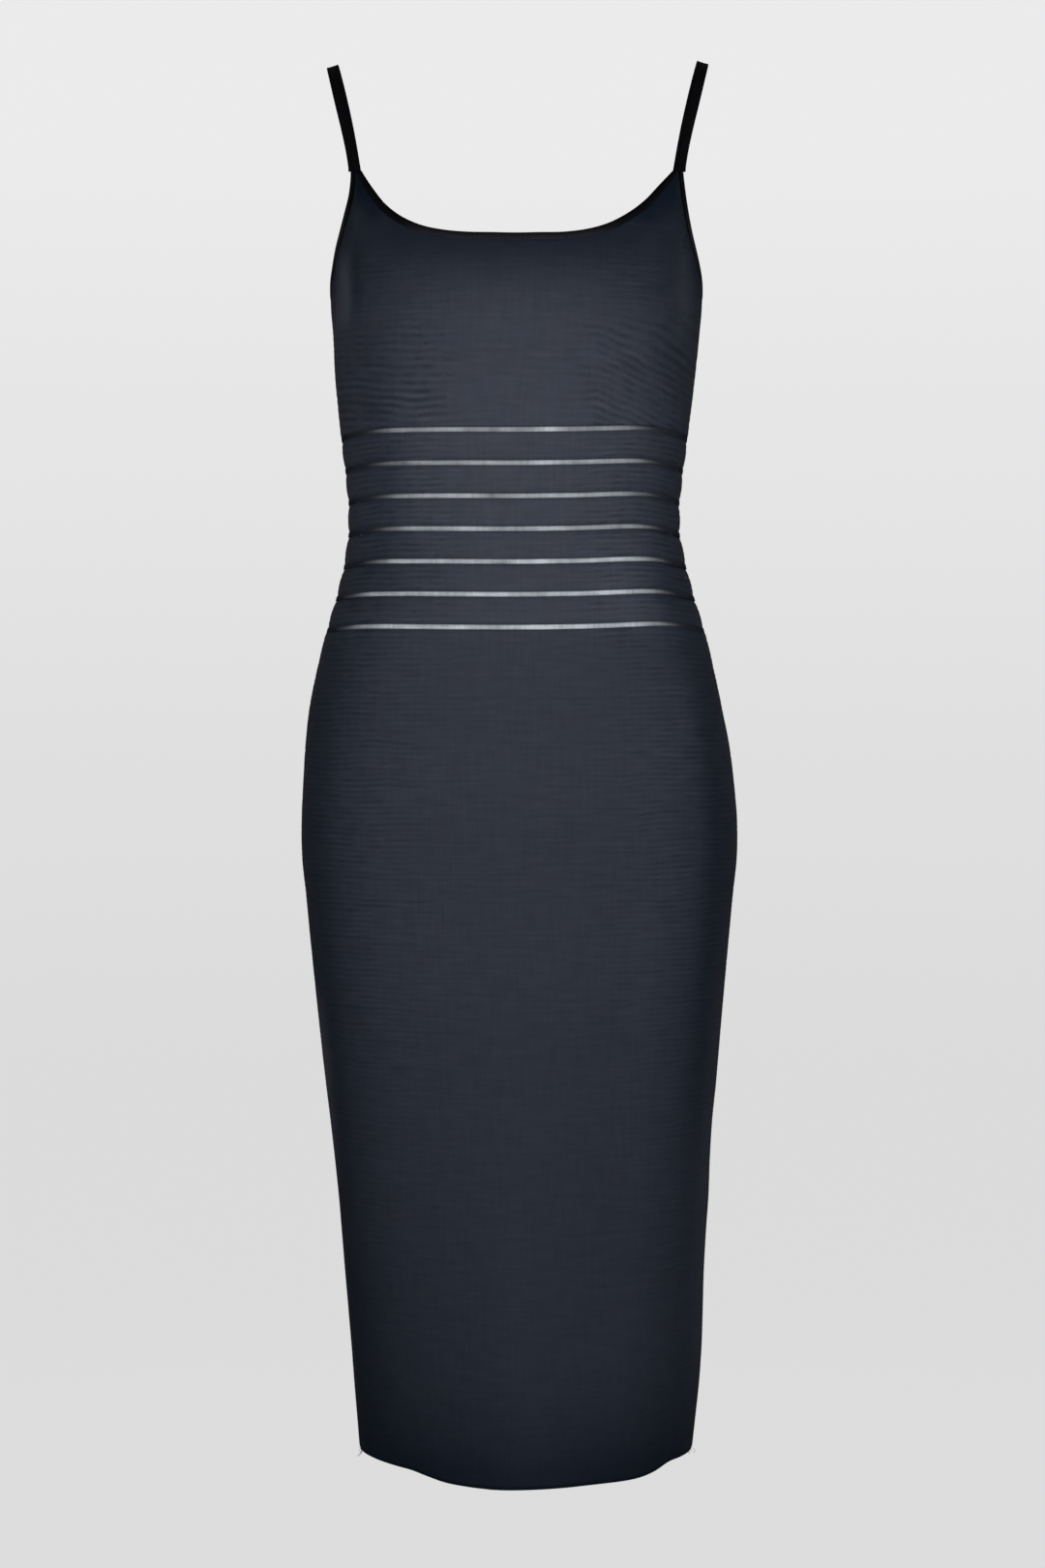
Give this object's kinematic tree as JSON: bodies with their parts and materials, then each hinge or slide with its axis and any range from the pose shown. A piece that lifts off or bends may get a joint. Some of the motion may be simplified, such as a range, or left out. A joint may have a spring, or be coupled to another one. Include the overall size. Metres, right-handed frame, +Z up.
{
  "type": "bodycon dress",
  "caption": "Knee-length bodycon dress in knitted bandage cloth, worn and hollow, with narrow straps, scoop neck and sheer stripes round the midriff.",
  "frame": {"origin": "between the wearer's shoulders, 3 mm above the tops of the two straps, on the body's upright axis", "axes": "+Z up along the body, -Y out of the dress's front, +X towards the wearer's left"},
  "size_m": [0.3454, 0.2367, 1.105],
  "materials": {
    "charcoal_knit": "matt dense bandage knit with a soft sheen",
    "sheer_mesh": "sheer silvery float threads",
    "black_binding": "folded black knit edging and strap tape"
  },
  "bodies": {
    "root": {"bodice_front": "charcoal_knit", "bodice_back": "charcoal_knit", "band_front_1": "charcoal_knit", "band_front_2": "charcoal_knit", "band_front_3": "charcoal_knit", "band_front_4": "charcoal_knit", "band_front_5": "charcoal_knit", "band_front_6": "charcoal_knit", "band_back_1": "charcoal_knit", "band_back_2": "charcoal_knit", "band_back_3": "charcoal_knit", "band_back_4": "charcoal_knit", "band_back_5": "charcoal_knit", "band_back_6": "charcoal_knit", "skirt_front": "charcoal_knit", "skirt_back": "charcoal_knit", "sheer_front_1": "sheer_mesh", "sheer_front_2": "sheer_mesh", "sheer_front_3": "sheer_mesh", "sheer_front_4": "sheer_mesh", "sheer_front_5": "sheer_mesh", "sheer_front_6": "sheer_mesh", "sheer_front_7": "sheer_mesh", "sheer_back_1": "sheer_mesh", "sheer_back_2": "sheer_mesh", "sheer_back_3": "sheer_mesh", "sheer_back_4": "sheer_mesh", "sheer_back_5": "sheer_mesh", "sheer_back_6": "sheer_mesh", "sheer_back_7": "sheer_mesh", "neck_binding_front": "black_binding", "neck_binding_back": "black_binding", "armhole_binding_left": "black_binding", "armhole_binding_right": "black_binding", "strap_left": "black_binding", "strap_right": "black_binding"}
  },
  "joints": []
}
